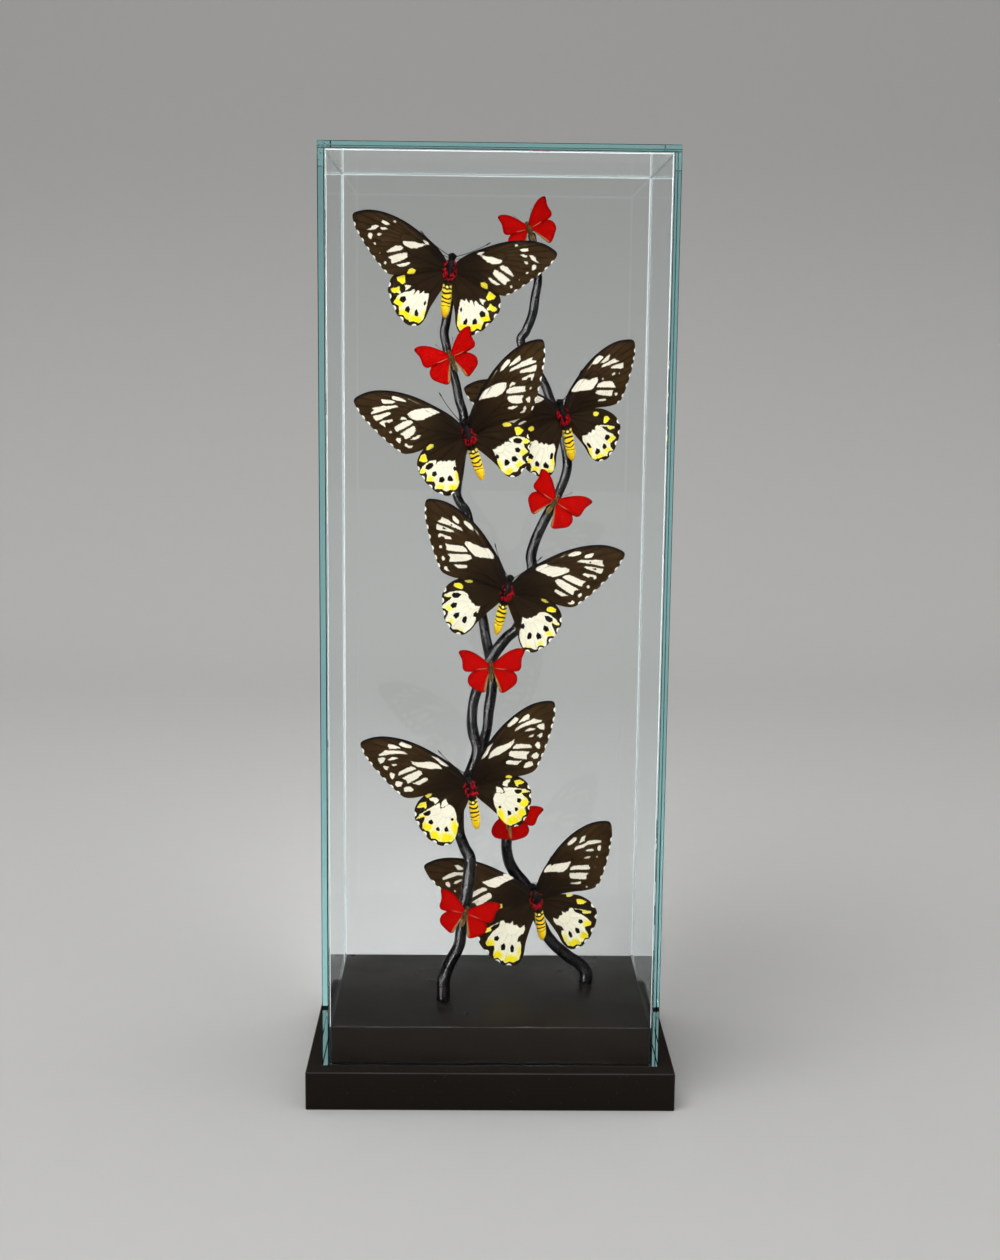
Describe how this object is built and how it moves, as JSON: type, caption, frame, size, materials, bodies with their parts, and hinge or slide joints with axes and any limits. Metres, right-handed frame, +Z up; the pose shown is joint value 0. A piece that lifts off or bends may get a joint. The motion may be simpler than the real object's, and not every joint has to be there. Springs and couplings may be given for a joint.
{
  "type": "mounted butterflies in glass case",
  "caption": "Tall clear glass case on a stepped black wooden base, with birdwing and small red butterflies mounted on two crossed vines.",
  "frame": {"origin": "middle of the underside of the base board", "axes": "+Z up, -Y to the front that the butterflies' upper wing faces look at, +X to the right of someone who looks at that front"},
  "size_m": [0.328, 0.23, 0.835],
  "materials": {
    "black_wood": "satin",
    "clear_glass": "polished",
    "vine_bark": "gloss",
    "birdwing_wings": "matte",
    "red_wings": "matte"
  },
  "bodies": {
    "root": {"base_board": "black_wood", "plinth": "black_wood", "glass_front": "clear_glass", "glass_back": "clear_glass", "glass_left": "clear_glass", "glass_right": "clear_glass", "glass_top": "clear_glass", "branch_left": "vine_bark", "branch_right": "vine_bark", "birdwing_1": "birdwing_wings", "birdwing_2": "birdwing_wings", "birdwing_3": "birdwing_wings", "birdwing_4": "birdwing_wings", "birdwing_5": "birdwing_wings", "birdwing_6": "birdwing_wings", "red_butterfly_1": "red_wings", "red_butterfly_2": "red_wings", "red_butterfly_3": "red_wings", "red_butterfly_4": "red_wings", "red_butterfly_5": "red_wings", "red_butterfly_6": "red_wings"}
  },
  "joints": []
}
